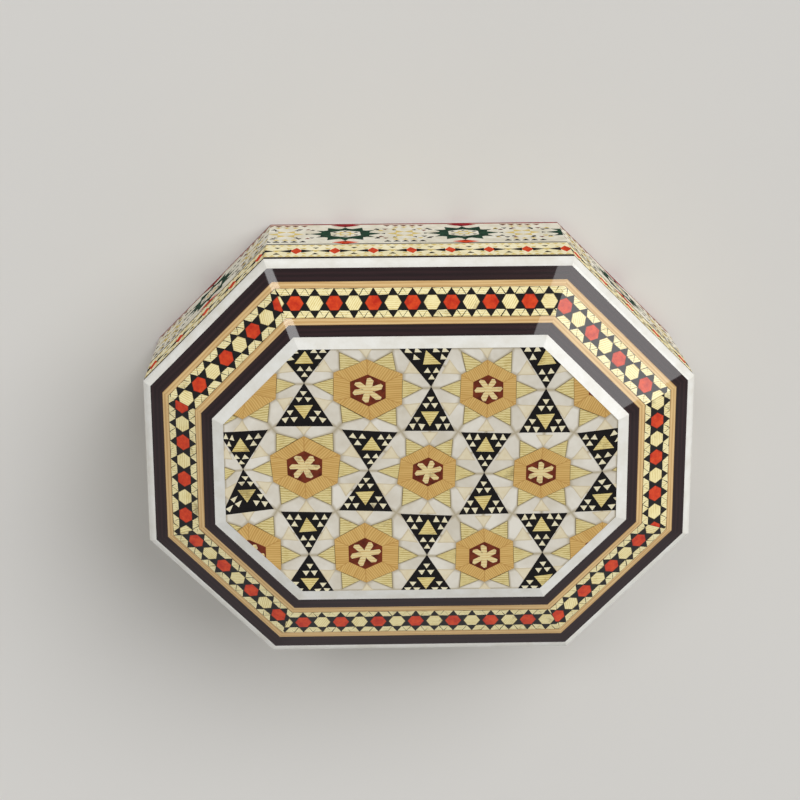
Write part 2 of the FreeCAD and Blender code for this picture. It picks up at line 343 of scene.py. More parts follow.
def slice_tree():
    """Geometry nodes: a thin slice of a rod with that many corners on every point of the places."""
    tree = bpy.data.node_groups.new("Rod slices", "GeometryNodeTree")
    add_socket(tree, "Places", "Geometry")
    sockets = {name: add_socket(tree, name, kind).identifier
               for name, kind in (("Corners", "Int"), ("Depth", "Float"), ("Finish", "Material"))}
    add_socket(tree, "Slices", "Geometry", "OUTPUT")
    nodes = tree.nodes
    inlet, outlet = nodes.new("NodeGroupInput"), nodes.new("NodeGroupOutput")
    rod = new_node(nodes, "GeometryNodeMeshCylinder", Radius=1.0)
    turn, span = [new_node(nodes, "GeometryNodeInputNamedAttribute", Name=name) for name in ("turn", "span")]
    turn.data_type = span.data_type = "FLOAT_VECTOR"
    euler = nodes.new("FunctionNodeEulerToRotation")
    spread = nodes.new("GeometryNodeInstanceOnPoints")
    solid = nodes.new("GeometryNodeRealizeInstances")
    paint = nodes.new("GeometryNodeSetMaterial")
    wire(tree.links, (inlet, "Corners", rod, "Vertices"), (inlet, "Depth", rod, "Depth"),
         (inlet, "Places", spread, "Points"), (rod, "Mesh", spread, "Instance"),
         (turn, "Attribute", euler, "Euler"), (euler, "Rotation", spread, "Rotation"),
         (span, "Attribute", spread, "Scale"), (spread, "Instances", solid, "Geometry"),
         (solid, "Geometry", paint, "Geometry"), (inlet, "Finish", paint, "Material"),
         (paint, "Geometry", outlet, "Slices"))
    return tree, sockets


SLICES, SLICE_SOCKETS = slice_tree()


def slice_outline(corners, angle, long, wide, centre):
    """Corners of one slice on its face, in millimetres; its first corner points along angle."""
    points = []
    for step in range(corners):
        turn = 2 * math.pi * step / corners
        x, y = long * math.cos(turn), wide * math.sin(turn)
        points.append((centre[0] + x * math.cos(angle) - y * math.sin(angle),
                       centre[1] + x * math.sin(angle) + y * math.cos(angle)))
    return points


def in_turn(ring):
    """Each one of a ring with the next."""
    return zip(ring, ring[1:] + ring[:1])


def oblong(half, low, top):
    return [(-half, low), (half, low), (half, top), (-half, top)]


def cut_to(points, region):
    """A convex outline cut off at the edges of a convex region that runs anticlockwise."""
    for (ax, ay), (bx, by) in in_turn(region):
        kept = []
        for (px, py), (qx, qy) in in_turn(points):
            near = (bx - ax) * (py - ay) - (by - ay) * (px - ax)
            far = (bx - ax) * (qy - ay) - (by - ay) * (qx - ax)
            if near >= 0:
                kept.append((px, py))
            if near * far < 0:
                part = near / (near - far)
                kept.append((px + (qx - px) * part, py + (qy - py) * part))
        points = kept
        if len(points) < 3:
            return []
    return points


class Inlay:
    """Slices of one finish that ride on one body: whole ones on places, cut ones as their own outlines."""

    def __init__(self, name, corners, finish, body, slot, depth=SLICE_DEPTH):
        self.name, self.corners, self.finish = name, corners, finish
        self.body, self.slot, self.depth = body, slot, depth
        self.places, self.turns, self.spans = [], [], []
        self.cut_points, self.cut_faces = [], []

    def add(self, face, centre, degrees, long, wide, region):
        """One slice, laid by hand: a little turned, a little off its place and not quite its full size."""
        origin, along, up, out = face[:4]
        angle = math.radians(degrees + hand.uniform(-HAND_TURN, HAND_TURN))
        grown = hand.uniform(1 - HAND_SIZE, 1 + HAND_SIZE)
        long, wide = long * grown, wide * grown
        centre = tuple(place + hand.uniform(-HAND_SLIP, HAND_SLIP) for place in centre)
        outline = slice_outline(self.corners, angle, long, wide, centre)
        kept = cut_to(outline, region)
        if not kept:
            return
        if len(kept) == self.corners and all(math.dist(a, b) < UNCUT for a, b in zip(kept, outline)):
            head = along * math.cos(angle) + up * math.sin(angle)
            turn = Matrix((head, out.cross(head), out)).transposed().to_euler()
            self.places.append((origin + along * centre[0] + up * centre[1]) * MM)
            self.turns.extend(turn)
            self.spans.extend((long * MM, wide * MM, 1.0))
            return
        self.add_outline(face, kept, region)

    def add_outline(self, face, outline, region):
        """One slice with an outline of its own, cut off at the edge of the region."""
        origin, along, up, out = face[:4]
        kept = cut_to(outline, region)
        if not kept:
            return
        count = len(kept)
        start = len(self.cut_points)
        for lift in (-self.depth / 2, self.depth / 2):
            for x, y in kept:
                self.cut_points.append((origin + along * x + up * y + out * lift) * MM)
        ring = range(count)
        self.cut_faces.append([start + count + step for step in ring])
        self.cut_faces.append([start + step for step in reversed(ring)])
        for step in ring:
            after = (step + 1) % count
            self.cut_faces.append([start + step, start + after, start + count + after, start + count + step])

    def lay(self):
        """The slices become one piece, and those that were cut a second one."""
        pieces = []
        if self.places:
            mesh = bpy.data.meshes.new(self.name)
            mesh.from_pydata(self.places, [], [])
            mesh.attributes.new("turn", "FLOAT_VECTOR", "POINT").data.foreach_set("vector", self.turns)
            mesh.attributes.new("span", "FLOAT_VECTOR", "POINT").data.foreach_set("vector", self.spans)
            piece = bpy.data.objects.new(self.name, mesh)
            bpy.context.scene.collection.objects.link(piece)
            repeat = piece.modifiers.new("Slices", "NODES")
            repeat.node_group = SLICES
            repeat[SLICE_SOCKETS["Corners"]] = self.corners
            repeat[SLICE_SOCKETS["Depth"]] = self.depth * MM
            repeat[SLICE_SOCKETS["Finish"]] = self.finish
            made = piece.evaluated_get(bpy.context.evaluated_depsgraph_get())
            solid = bpy.data.meshes.new_from_object(made)
            piece.modifiers.clear()
            piece.data = solid
            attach(piece, self.body)
            pieces.append(piece)
        if self.cut_points:
            mesh = bpy.data.meshes.new(self.name + "_cut")
            mesh.from_pydata(self.cut_points, [], self.cut_faces)
            mesh.materials.append(self.finish)
            pieces.append(finish_piece(self.name + "_cut", mesh, self.body))
        return pieces


def dyed_finish(name, light, dark, scale=700.0, roughness=0.4, coat=1.0, laid=False, joint=None):
    """Dyed wood or bone seen on its end grain: pores and an uneven take-up of the dye."""
    finish, nodes, links, shader = start_finish(name, roughness, coat)
    blotch = new_node(nodes, "ShaderNodeTexNoise", Scale=scale, Detail=4.0, Roughness=0.65)
    ramp = two_tones(nodes, dark, light, 0.34, 0.64)
    links.new(laid_place(nodes, laid), blotch.inputs["Vector"])
    wire(links, (blotch, "Fac", ramp, "Fac"))
    raise_pattern(nodes, links, blotch, "Fac", 0.06, 0.05, shader)
    join_colour(nodes, links, ramp.outputs["Color"], joint, shader)
    return finish


def brass_finish(name, light, dark, lines, roughness, coat=1.0, laid=False, joint=None, metal=0.35):
    """Brass slices as the saw left them: close parallel saw lines and dull spots under the lacquer."""
    finish, nodes, links, shader = start_finish(name, roughness, coat)
    saw = new_node(nodes, "ShaderNodeTexWave", Scale=lines, Distortion=2.0, Detail=3.0, Detail_Scale=2.2)
    saw.bands_direction = "Y"
    dull = new_node(nodes, "ShaderNodeTexNoise", Scale=480.0, Detail=4.0)
    mix = new_node(nodes, "ShaderNodeMix", Factor=0.6)
    ramp = two_tones(nodes, dark, light, 0.25, 0.6)
    tarnish = new_node(nodes, "ShaderNodeTexNoise", Scale=150.0, Detail=5.0, Roughness=0.7)
    patch = two_tones(nodes, (0.0, 0.0, 0.0, 1), (0.7, 0.7, 0.7, 1), 0.58, 0.72)
    stained = nodes.new("ShaderNodeMix")
    stained.data_type = "RGBA"
    stained.inputs["B"].default_value = shade(118, 96, 54)
    place = laid_place(nodes, laid)
    for pattern in (saw, dull, tarnish):
        links.new(place, pattern.inputs["Vector"])
    wire(links, (saw, "Fac", mix, "A"), (dull, "Fac", mix, "B"), (mix, "Result", ramp, "Fac"),
         (tarnish, "Fac", patch, "Fac"), (patch, "Color", stained, "Factor"), (ramp, "Color", stained, "A"))
    raise_pattern(nodes, links, mix, "Result", 0.25, 0.04, shader)
    join_colour(nodes, links, stained.outputs["Result"], joint, shader)
    shader.inputs["Metallic"].default_value = metal
    return finish


side_bone = dyed_finish("Side bone", shade(232, 228, 214), shade(212, 205, 184), 300.0, 0.5, SIDE_COAT)
side_black = dyed_finish("Side black wood", shade(24, 19, 18), shade(14, 11, 11), coat=SIDE_COAT)
green_wood = dyed_finish("Green dyed wood", shade(24, 66, 46), shade(12, 40, 30), coat=SIDE_COAT)
crimson_wood = dyed_finish("Crimson dyed wood", shade(160, 28, 40), shade(112, 14, 24), coat=SIDE_COAT)
orange_wood = dyed_finish("Orange-red dyed wood", shade(222, 76, 34), shade(180, 46, 18), coat=SIDE_COAT)
brown_wood = dyed_finish("Red-brown wood", shade(128, 60, 36), shade(88, 38, 22), coat=SIDE_COAT)
side_brass = brass_finish("Side brass", shade(220, 196, 112), shade(150, 126, 62), 520.0, 0.5, SIDE_COAT)

set_finish(side_bone, *["base_khatam_" + side for side in SIDES])
STAR_PITCH = 26.8
MID_HEIGHT = BASE_HEIGHT / 2
SEAM_SLOPE = 2.3
EDGE_MARGIN = 0.25
STAR_RING = 6.2
STAR_HEART = 4.0
STAR_ROOM = 8.6
FLOWER_ROOM = 5.4
FRONT_STAR_SHIFT = 2.5
FIELD_PITCH = 1.95
FIELD_ROW = 1.7
FIELD_SLICE = 0.72
FOOT_LINE = 0.9
RIM_LINE = 0.6


def base_inlay(name, corners, finish, depth=SLICE_DEPTH):
    return Inlay("base_" + name, corners, finish, "base", "side_khatam", depth)


foot_lines = base_inlay("foot_lines", 4, crimson_wood, 0.06)
rim_lines = base_inlay("rim_lines", 4, side_black, 0.06)
green_hexagons = base_inlay("green_hexagons", 6, green_wood, 0.05)
green_points = base_inlay("green_star_points", 3, green_wood, 0.055)
pale_hearts = base_inlay("star_bone_hearts", 6, side_bone, 0.08)
crimson_lozenges = base_inlay("crimson_lozenges", 4, crimson_wood)
orange_lozenges = base_inlay("orange_lozenges", 4, orange_wood)
black_teeth = base_inlay("black_teeth", 3, side_black, 0.1)
brown_teeth = base_inlay("brown_teeth", 3, brown_wood)
brass_darts = base_inlay("brass_darts", 3, side_brass, 0.1)
# Six times round a place: the rod, how far out, how far round, which way it points, its length and width.
STAR_SLICES = ((green_points, 6.0, 0, 0, 2.0, 1.95), (green_points, 6.4, 30, 30, 1.2, 0.9),
               (brass_darts, 1.5, 0, 0, 1.0, 0.85), (black_teeth, 2.8, 30, 210, 0.65, 0.65),
               (black_teeth, STAR_ROOM, 30, 210, 0.6, 0.6))
FLOWER_SLICES = ((brass_darts, 2.5, 0, 0, 1.35, 1.2), (black_teeth, 4.7, 0, 0, 0.6, 0.55))
# Below and above a star: the rod, its height, its length and width.
STAR_LOZENGES = ((crimson_lozenges, -9.6, 3.4, 1.9), (orange_lozenges, 9.5, 3.0, 1.7))
# Above and below a flower: the rod, its height, which way it points, its size and how many each side.
FLOWER_ROWS = ((black_teeth, 8.6, 270, 0.95, 0.9, 2), (brown_teeth, -9.2, 90, 0.95, 0.9, 2),
               (brass_darts, 6.6, 270, 0.8, 0.8, 1), (brass_darts, -7.2, 90, 0.8, 0.8, 1))


def around(centre, radius, degrees):
    angle = math.radians(degrees)
    return (centre[0] + radius * math.cos(angle), centre[1] + radius * math.sin(angle))


def lay_round(face, centre, slices, region):
    """The same slices six times round a place."""
    for turn in range(0, 360, 60):
        for rod, out, aside, facing, long, wide in slices:
            rod.add(face, around(centre, out, aside + turn), facing + turn, long, wide, region)


def lay_star(face, star, region):
    """One star ring round a bone heart, with a lozenge below it and one above it."""
    green_hexagons.add(face, star, 30, STAR_RING, STAR_RING, region)
    pale_hearts.add(face, star, 30, STAR_HEART, STAR_HEART, region)
    lay_round(face, star, STAR_SLICES, region)
    for rod, level, long, wide in STAR_LOZENGES:
        rod.add(face, (star[0], level), 0, long, wide, region)


def lay_filling(face, middle, region):
    """Between two stars: a brass flower, black teeth towards the seam and brown ones towards the floor."""
    for tooth in range(-2, 3):
        along = middle[0] + tooth * FIELD_PITCH
        for rod, level, facing, long, wide, reach in FLOWER_ROWS:
            if abs(tooth) <= reach:
                rod.add(face, (along, level), facing, long, wide, region)
    lay_round(face, middle, FLOWER_SLICES, region)


def lay_field(face, stars, region):
    """Rows of small brass and brown slices fill the field wherever no star or flower lies."""
    for row in range(-3, 4):
        for column in range(-21, 22):
            spot = ((column + (row % 2) / 2) * FIELD_PITCH, row * FIELD_ROW)
            clear = min(math.dist(spot, (star, 0)) for star in stars)
            flower = min(math.dist(spot, (star + STAR_PITCH / 2, 0)) for star in stars)
            if clear > STAR_ROOM and flower > FLOWER_ROOM:
                rod = (brown_teeth, black_teeth, brass_darts)[(row + column) % 3]
                rod.add(face, spot, 90 if column % 2 else 270, FIELD_SLICE, FIELD_SLICE, region)


for side in range(8):
    face = side_frame(side, FACE_INSET, MID_HEIGHT)
    half = face[4] / 2
    top = MID_HEIGHT - (SEAM_SLOPE if "back" in SIDES[side] else EDGE_MARGIN)
    low = EDGE_MARGIN - MID_HEIGHT
    region = oblong(half, low, top)
    middle = {"front": FRONT_STAR_SHIFT + STAR_PITCH / 2, "back": STAR_PITCH / 2}.get(SIDES[side], 0.0)
    stars = [middle + step * STAR_PITCH for step in range(-3, 3)]
    lay_field(face, stars, region)
    for star in stars:
        lay_star(face, (star, 0), region)
        lay_filling(face, (star + STAR_PITCH / 2, 0), region)
    for lines, under, over in ((foot_lines, low, low + FOOT_LINE), (rim_lines, top - RIM_LINE, top)):
        lines.add_outline(face, oblong(half, under, over), region)
for inlay in (foot_lines, rim_lines, green_hexagons, green_points, pale_hearts, crimson_lozenges,
              orange_lozenges, black_teeth, brown_teeth, brass_darts):
    inlay.lay()

# Lining: thin card covered with short-pile cloth, glued to the floor and walls and inside the lid.
# The cloth is turned over the card, so its edges are round, and the pile catches light there.
cloth, nodes, links, shader = start_finish("Dark red pile cloth", 0.95, 0.0)
place = nodes.new("ShaderNodeTexCoord")
pile = new_node(nodes, "ShaderNodeTexNoise", Scale=2600.0, Detail=3.0)
drift = new_node(nodes, "ShaderNodeTexNoise", Scale=55.0)
blend = new_node(nodes, "ShaderNodeMix", Factor=0.45)
ramp = two_tones(nodes, shade(72, 8, 16), shade(132, 22, 34), 0.3, 0.7)
wire(links, (place, "Object", pile, "Vector"), (place, "Object", drift, "Vector"), (pile, "Fac", blend, "A"),
     (drift, "Fac", blend, "B"), (blend, "Result", ramp, "Fac"), (ramp, "Color", shader, "Base Color"))
raise_pattern(nodes, links, pile, "Fac", 0.6, 0.2, shader)
shader.inputs["Sheen Weight"].default_value = 0.6
shader.inputs["Sheen Roughness"].default_value = 0.4
shader.inputs["Sheen Tint"].default_value = shade(220, 120, 120)
POINTS_A_SIDE = 14
CLOTH_DIP = 0.12
# Over the edge: how far in from it, and at what share of the thickness. On the face: how far in.
CLOTH_EDGE = ((0, 0.0), (0, 0.45), (0.12, 0.75), (0.4, 0.92), (1.0, 1.0))
CLOTH_FACE = (3, 7, 12, 18, 25, 32)


def ring_at(work, inset, height, wave):
    """Points round the octagon at that inset; wave is how far the cloth dips between its high spots."""
    corners = corners_at(inset)
    ring = []
    for side in range(8):
        first = Vector(corners[side])
        last = Vector(corners[(side + 1) % 8])
        for step in range(POINTS_A_SIDE):
            spot = first.lerp(last, step / POINTS_A_SIDE)
            dip = wave * (0.5 + 0.5 * noise.noise((spot.x / 8, spot.y / 8, 0.3)))
            ring.append(work.verts.new((spot.x * MM, spot.y * MM, (height - dip) * MM)))
    return ring


def lining_pad(node, body, upward):
    """A cloth-covered card that fills its place: round at the edge and a little uneven over its face."""
    low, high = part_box(node)
    inset = HALF_WIDTH - high[0] / MM
    back, front = (low[2] / MM, high[2] / MM) if upward else (high[2] / MM, low[2] / MM)
    thick = front - back
    way = 1 if upward else -1
    work = bmesh.new()
    rings = [ring_at(work, inset + run, back + thick * share, 0) for run, share in CLOTH_EDGE]
    rings += [ring_at(work, inset + run, front, CLOTH_DIP * way) for run in CLOTH_FACE]
    work.faces.new(reversed(rings[0]))
    work.faces.new(rings[-1])
    for near, far in zip(rings, rings[1:]):
        for face in bridge(work, near, far):
            face.smooth = True
    bmesh.ops.recalc_face_normals(work, faces=work.faces)
    stand_in(work, node + "_cloth", cloth, body, node)


def faces_inside(face):
    """Upright faces that look towards the middle of the box."""
    return abs(face.normal.z) < 0.1 and face.normal.dot(face.calc_center_median().normalized()) < -0.5


lining_pad("base_floor_lining", "base", True)
lining_pad("lid_top_lining", "lid", False)
for node, body in (("base_wall_lining", "base"), ("lid_wall_lining", "lid")):
    dressed(node, cloth, body, 0.5, 0.3, shows=faces_inside)

# Hinges: two small butt hinges of rolled brass, let into the back rims and nailed.
# The metal is satin, with a little tarnish in patches.
hinge_brass = brass_finish("Rolled hinge brass", shade(214, 178, 98), shade(160, 122, 58), 90.0, 0.35, 0.0,
                           metal=1.0)
set_finish(hinge_brass, "hinge_base_leaf_left", "hinge_base_leaf_right", "hinge_lid_leaf_left",
           "hinge_lid_leaf_right", "hinge_pin_left", "hinge_pin_right", "hinge_base_nails", "hinge_lid_nails")

# Lid side: a narrow khatam strip right round, pale with red lozenges between black points.
# It is glued to the rails and ends under a thin dark line below the bead.
LID_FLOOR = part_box("lid_side_khatam")[0][2] / MM
SIDE_STRIP_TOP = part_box("lid_side_khatam")[1][2] / MM
STRIP_PITCH = 8.4
FRONT_STRIP_START = 1.35
LOZENGE_LEVEL = 0.3
POINT_STEP = 1.95
CROSS_RUN = 2.3
CROSS_RISE = 3.6
EDGE_DARTS = 5
EDGE_DART_IN = 0.5
pale_wood = dyed_finish("Pale strip wood", shade(247, 239, 206), shade(232, 220, 174), 300.0, 0.5, SIDE_COAT)
set_finish(pale_wood, "lid_side_khatam")
red_lozenges = Inlay("lid_side_red_lozenges", 4, orange_wood, "lid", "side_khatam")
side_points = Inlay("lid_side_black_points", 3, side_black, "lid", "side_khatam")
side_darts = Inlay("lid_side_brass_darts", 3, side_brass, "lid", "side_khatam")
# In each pitch: the rod, how far along, its height, which way it points, its length and width.
STRIP_SLICES = ((red_lozenges, 0, LOZENGE_LEVEL, 90, 3.1, 1.35),
                (side_points, POINT_STEP, LOZENGE_LEVEL, 0, 1.7, 1.8),
                (side_points, -POINT_STEP, LOZENGE_LEVEL, 180, 1.7, 1.8),
                (side_points, STRIP_PITCH / 2, 3.3, 270, 0.95, 0.9),
                (side_points, STRIP_PITCH / 2, -2.9, 90, 0.75, 0.8),
                (side_darts, STRIP_PITCH / 2, 0.2, 90, 1.2, 1.0))
strip_middle = (LID_FLOOR + SIDE_STRIP_TOP) / 2
for side in range(8):
    face = side_frame(side, FACE_INSET, strip_middle)
    half = face[4] / 2
    tall = (SIDE_STRIP_TOP - LID_FLOOR) / 2 - EDGE_MARGIN
    low = -tall + (SEAM_SLOPE if "back" in SIDES[side] else 0.0)
    region = oblong(half, low, tall)
    for step in range(-5, 6):
        spot = step * STRIP_PITCH + (FRONT_STRIP_START if SIDES[side] == "front" else 0.0)
        for rod, along, level, facing, long, wide in STRIP_SLICES:
            rod.add(face, (spot + along, level), facing, long, wide, region)
        for turn in (45, 135, 225, 315):
            angle = math.radians(turn)
            place = (spot + CROSS_RUN * math.cos(angle), LOZENGE_LEVEL + CROSS_RISE * math.sin(angle))
            side_darts.add(face, place, turn, 0.8, 0.7, region)
        for count in range(EDGE_DARTS):
            place = spot + count * STRIP_PITCH / EDGE_DARTS
            for level, facing in ((tall - EDGE_DART_IN, 270), (EDGE_DART_IN - tall, 90)):
                side_darts.add(face, (place, level), facing, 0.85, 0.75, region)
for inlay in (red_lozenges, side_points, side_darts):
    inlay.lay()

# Plain courses of the lid border: the dark strips are near-black wood with a red cast,
# the tan lines are pale wood sawn along its grain, and the bead and inner line are bone.
# Each course is eight mitred lengths, glued to the bevelled board and lacquered over.
bone = dyed_finish("Bone", shade(236, 235, 229), shade(225, 222, 212), 260.0, 0.3)
dark_wood = wood_finish("Near-black strip wood", shade(46, 27, 29), shade(32, 18, 20), 300, 0.4, 1.0, True,
                        bump=0.03)
edge_wood = dyed_finish("Near-black edge line", shade(44, 28, 28), shade(26, 16, 17), coat=SIDE_COAT)
tan_wood = wood_finish("Tan line wood", shade(225, 192, 136), shade(201, 161, 104), 420, 0.45, 1.0, True,
                       shade(120, 86, 50), 0.05)
set_finish(edge_wood, "lid_side_dark_line")
set_finish(bone, "lid_bone_bead", "lid_inner_bone_line")
BEAD_RUN = 1.67
BEAD_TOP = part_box("lid_bone_bead")[1][2] / MM
BEVEL_SLOPE = 0.4737
OUTER_DARK_END = 4.33
OUTER_TAN_END = 5.71
KHATAM_END = 11.5
INNER_TAN_END = 12.91
INNER_DARK_END = 15.25
COURSE_DEPTH = 1.0
MITRE_ROLL = 3.2


def course_points(inset, drop=0.0):
    """Points along one line of a course: on each mitre, and where the rubbed part of each length ends."""
    height = BEAD_TOP + (inset - BEAD_RUN) * BEVEL_SLOPE - drop
    corners = [Vector((*corner, height)) for corner in corners_at(inset)]
    points = []
    for first, last in in_turn(corners):
        way = (last - first).normalized() * MITRE_ROLL
        points.extend((first, first + way, last - way))
    return points


def lay_course(node, finish, outer, inner, joint):
    """Eight mitred lengths of one course; the lacquer over the mitres is rubbed round."""
    work = bmesh.new()
    laid = work.loops.layers.uv.new("laid")
    mask = work.verts.layers.float.new("rim")
    lines = []
    for inset, drop, clear in ((outer, COURSE_DEPTH, 0), (outer, 0, 0), (outer + joint, 0, 1),
                               (inner - joint, 0, 1), (inner, 0, 0), (inner, COURSE_DEPTH, 0)):
        line = [work.verts.new(point * MM) for point in course_points(inset, drop)]
        for vert in line:
            vert[mask] = clear
        lines.append(line)
    count = len(lines[0])
    starts = [Vector((hand.random(), hand.random())) for side in range(8)]
    for row, (near, far) in enumerate(in_turn(lines)):
        for step, face in enumerate(bridge(work, near, far)):
            origin, along, up = side_frame(step // 3, outer, BEAD_TOP, BEVEL_SLOPE)[:3]
            for loop in face.loops:
                reach = loop.vert.co - origin * MM
                loop[laid].uv = starts[step // 3] + Vector((reach.dot(along), reach.dot(up)))
            face.smooth = row in (1, 2, 3)
    for line in (lines[1], lines[4]):
        for step in range(count):
            work.edges.get((line[step], line[(step + 1) % count])).smooth = False
    bmesh.ops.recalc_face_normals(work, faces=work.faces)
    stand_in(work, node + "_laid", finish, "lid", node)


lay_course("lid_outer_dark_strip", dark_wood, BEAD_RUN, OUTER_DARK_END, 0.1)
lay_course("lid_outer_tan_line", tan_wood, OUTER_DARK_END, OUTER_TAN_END, 0.14)
lay_course("lid_inner_tan_line", tan_wood, KHATAM_END, INNER_TAN_END, 0.14)
lay_course("lid_inner_dark_strip", dark_wood, INNER_TAN_END, INNER_DARK_END, 0.1)

# Border khatam: a black wood strip glued to the bevel, with hexagons of red wood and brass in turn down it.
# Between the black star points three brass triangles fill each gap along both edges.
HEXAGON_PITCH = 4.165
HEXAGON_SIDE = 1.85
FOOT_GLUE = 0.04
TIP_GLUE = 0.14
BASE_GLUE = 0.2
HEXAGON_START = {"front": 1.6, "front_right": 1.4, "right": 2.5, "back_right": 4.3,
                 "back": -1.15, "back_left": 2.35, "left": 1.2, "front_left": -3.0}
black_wood = dyed_finish("Black wood", shade(20, 16, 16), shade(11, 9, 9))
red_wood = dyed_finish("Red hexagon wood", shade(228, 76, 30), shade(190, 40, 14), 520.0, laid=True,
                       joint=shade(90, 20, 12))
border_brass = brass_finish("Border brass", shade(250, 240, 190), shade(226, 206, 138), 700.0, 0.42,
                            metal=0.05)
hexagon_brass = brass_finish("Hexagon brass", shade(252, 240, 184), shade(224, 202, 130), 700.0, 0.42, 1.0,
                             True, shade(120, 98, 52), 0.05)
set_finish(black_wood, "lid_khatam_ground")
dressed("lid_khatam_red_hexagons", red_wood, "lid", 0.16)
dressed("lid_khatam_brass_hexagons", hexagon_brass, "lid", 0.12)
edge_triangles = Inlay("lid_border_brass_triangles", 3, border_brass, "lid", "brass")
lean = math.hypot(1, BEVEL_SLOPE)
border_middle = (OUTER_TAN_END + KHATAM_END) / 2
half_strip = (KHATAM_END - OUTER_TAN_END) / 2 * lean
gap_foot = half_strip - FOOT_GLUE
gap_height = HEXAGON_SIDE * math.sqrt(3) / 2 - TIP_GLUE
quarter = HEXAGON_PITCH / 4
gap_base = 2 * quarter - BASE_GLUE
for side in range(8):
    height = BEAD_TOP + (border_middle - BEAD_RUN) * BEVEL_SLOPE
    face = side_frame(side, border_middle, height, BEVEL_SLOPE)
    half = face[4] / 2
    mitre = math.tan(math.radians(22.5)) * half_strip / lean
    region = [(-half - mitre, -half_strip), (half + mitre, -half_strip),
              (half - mitre, half_strip), (-half + mitre, half_strip)]
    for step in range(-10, 11):
        spot = HEXAGON_START[SIDES[side]] + step * HEXAGON_PITCH
        for edge in (1, -1):
            for count, inward in ((1, True), (2, False), (3, True)):
                level = gap_foot - gap_height * (1 / 3 if inward else 2 / 3)
                degrees = -90 * edge if inward else 90 * edge
                place = (spot + count * quarter, edge * level)
                edge_triangles.add(face, place, degrees, gap_height / 1.5, gap_base / math.sqrt(3), region)
edge_triangles.lay()

# Centre panel: star rosettes sliced from a bundle of rods and glued down as one veneer.
# Bone petals, golden hexagons in six sectors, brass star points, pale wedges and dark red hearts.
PANEL_INSET = 17.65
PANEL_GLUE = 0.02
PANEL_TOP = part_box("panel_bone_petals")[1][2] / MM
PANEL_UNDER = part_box("panel_bone_petals")[0][2] / MM
ROSETTE_PITCH = 25.7
ROW_PITCH = 18.7
SHIFT = (-1.0, 0.1)
SQUASH = ROW_PITCH / (ROSETTE_PITCH * math.sqrt(3) / 2)
OCHRE_APOTHEM = 6.9
HEART_APOTHEM = 3.65
POINT_BASE = 5.1
POINT_HEIGHT = 4.2
TRIANGLE_SHARE = 0.95
# The petals' edge colour is partly a glue joint and partly painted shade of their rounded rims: tan-grey at
# the edge, white in the middle.
petal_bone_with_rim_shade = dyed_finish("Petal bone with painted rim shade", shade(232, 227, 215), shade(210, 202, 185), 90.0, 0.3, laid=True,
                         joint=shade(178, 166, 140))
golden_wood = wood_finish("Golden sector wood", shade(220, 183, 112), shade(195, 151, 82), 640, 0.42, 1.0,
                          True, shade(184, 138, 74), 0.05)
heart_wood = dyed_finish("Dark red heart wood", shade(122, 50, 26), shade(84, 28, 14))
wedge_wood = dyed_finish("Pale wedge wood", shade(231, 221, 195), shade(223, 209, 174), 400.0, laid=True,
                         joint=shade(204, 188, 154))
point_brass = brass_finish("Star point brass", shade(248, 232, 168), shade(212, 186, 112), 620.0, 0.42, 1.0,
                           True, shade(96, 74, 36))
pale_brass = brass_finish("Pale heart brass", shade(255, 236, 176), shade(236, 200, 134), 500.0, 0.42)

# How far the maker laid each rosette and black triangle off its even place, to the nearest half millimetre.
# A line holds one row, counted in thirds of the row pitch from the middle, with a step along and a step back.
LAID_STEPS = {
    -4: [(0, -0.5), (-1.5, 0), (0, 0.5)],
    -3: [(0, -1), (-0.5, 0.5), (-0.5, 0.5), (-0.5, 1)],
    -2: [(0.5, -2), (-1, 0), (0, 1)],
    -1: [(1.5, 0.5), (-1.5, 0.5), (0, 1), (0.5, 1)],
    0: [(0.5, -1.5), (-0.5, 0), (1, 0.5)],
    1: [(0, -2), (0.5, -1), (0.5, 0.5), (0.5, 0.5)],
    2: [(0, 0), (-0.5, 1), (0.5, 0.5)],
    3: [(0, 0), (0.5, 0), (0, 1), (0, 0)],
    4: [(-0.5, 0.5), (0, 0.5), (0, 0.5)]}
LAID_REACH = 5.0
EDGE_HOLD = 3.5
EVEN_WEIGHT = 0.02
# The rosettes of the half with the smaller x came from a slightly thinner bundle: column, row and share.
THINNER = {(-0.5, -1): 0.91, (0, 0): 0.91, (-1, 0): 0.89, (-0.5, 1): 0.93}
THIN_CORE = 7.5
THIN_REACH = 11.5
# This rosette lies so far under the bone line that its golden sectors close over its heart.
COVERED = (1.5, -1)
COVERED_CORNER = 0.3
COVERED_DROP = 0.06


def even_place(column, row):
    return column * ROSETTE_PITCH + SHIFT[0], row * ROW_PITCH + SHIFT[1]


laid_off = []
triangle_places = []
for third, steps in LAID_STEPS.items():
    for count, step in enumerate(steps):
        place = even_place((len(steps) - 1) / 2 - count, third / 3)
        laid_off.append((*place, *step))
        if third % 3:
            triangle_places.append(place)


def free_share(x, y):
    """How free a point of the panel is to move: 0 at the panel's edge and 1 well inside it."""
    corners = corners_at(PANEL_INSET)
    near = []
    for (ax, ay), (bx, by) in in_turn(corners):
        near.append(((bx - ax) * (y - ay) - (by - ay) * (x - ax)) / math.dist((ax, ay), (bx, by)))
    return min(max(min(near), 0.0) / EDGE_HOLD, 1.0)


